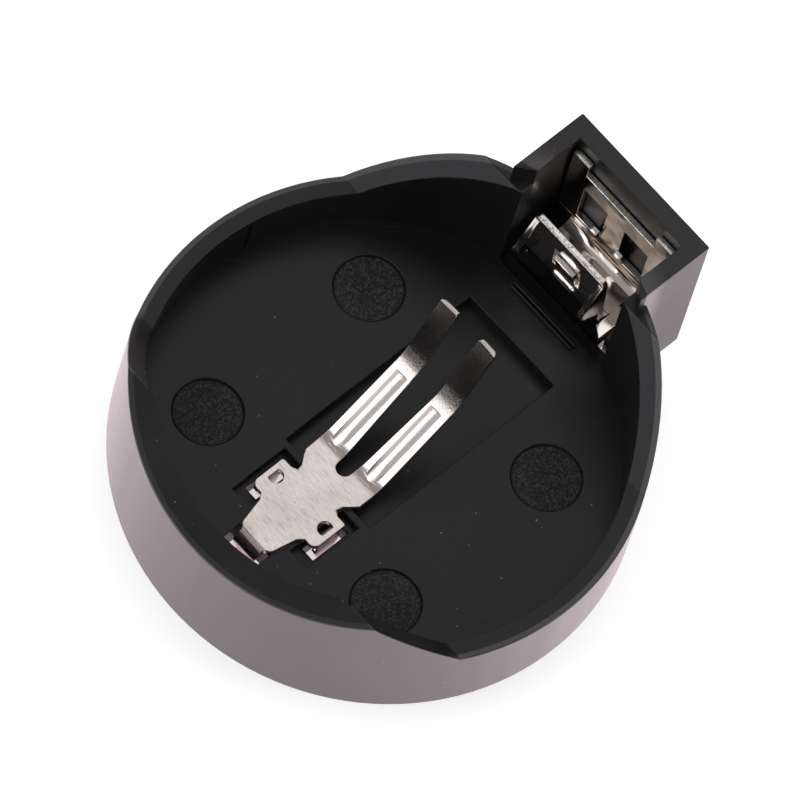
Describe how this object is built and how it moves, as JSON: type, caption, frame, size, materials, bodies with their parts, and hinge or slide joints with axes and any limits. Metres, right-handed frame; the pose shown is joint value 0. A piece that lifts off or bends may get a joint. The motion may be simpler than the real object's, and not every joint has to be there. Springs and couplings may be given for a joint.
{
  "type": "coin cell holder",
  "caption": "Round moulded through-hole holder for a coin cell, with a low rim at the thumb notches, a sprung side contact in a square nose and a forked spring contact in the floor.",
  "frame": {"origin": "on the axis of the round well, in the plane of the board that the holder seats on", "axes": "+X points from the well towards the nose with the positive contact, +Z points away from the board, out of the open well"},
  "size_m": [0.0301, 0.027, 0.0139],
  "materials": {
    "housing_plastic": "black moulded plastic with a satin surface",
    "plated_sheet": "bright nickel plate over stamped spring sheet"
  },
  "bodies": {
    "root": {"housing": "housing_plastic", "negative_contact": "plated_sheet", "positive_contact": "plated_sheet"}
  },
  "joints": []
}
